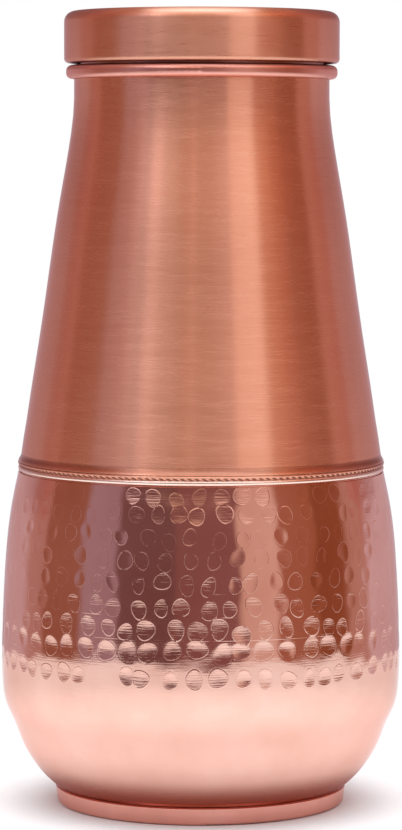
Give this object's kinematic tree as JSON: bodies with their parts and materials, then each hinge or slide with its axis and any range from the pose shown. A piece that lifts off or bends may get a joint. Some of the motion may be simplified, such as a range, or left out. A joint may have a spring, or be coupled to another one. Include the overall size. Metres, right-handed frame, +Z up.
{
  "type": "copper water bottle",
  "caption": "Spun copper water bottle with a brushed tapering upper shell, a hammered belly, a beaded neck, a foot ring and a shallow screw lid on a threaded collar.",
  "frame": {"origin": "centre of the foot ring, in the plane that the bottle stands on", "axes": "+Z up along the axis of the bottle and its lid; X and Y are free, because every piece is round"},
  "size_m": [0.1212, 0.1212, 0.24],
  "materials": {
    "hammered_copper": "hammered and polished copper",
    "brushed_copper": "satin copper, brushed round the axis",
    "polished_copper": "polished copper",
    "collar_copper": "turned copper, polished bead",
    "plain_copper": "plain turned copper",
    "silicone": "translucent white silicone"
  },
  "bodies": {
    "bottle": {"foot_ring": "polished_copper", "lower_shell": "hammered_copper", "base_disc": "plain_copper", "seam_ring": "polished_copper", "upper_shell": "brushed_copper", "neck_collar": "collar_copper"},
    "lid_seal": {"lid_gasket": "silicone"},
    "lid": {"lid_shell": "brushed_copper", "lid_liner": "plain_copper"}
  },
  "joints": [
    {"name": "lid_rise", "type": "slide", "parent": "bottle", "child": "lid_seal", "axis": [0, 0, 1], "range_m": [0, 0.015]},
    {"name": "lid_turn", "type": "hinge", "parent": "lid_seal", "child": "lid", "pos_m": [0, 0, 0.2319], "axis": [0, 0, 1], "range_deg": [0, 1080]}
  ],
  "couplings": [
    {"joint": "lid_rise", "follows": "lid_turn", "m_per_rad": 0.00079577}
  ]
}
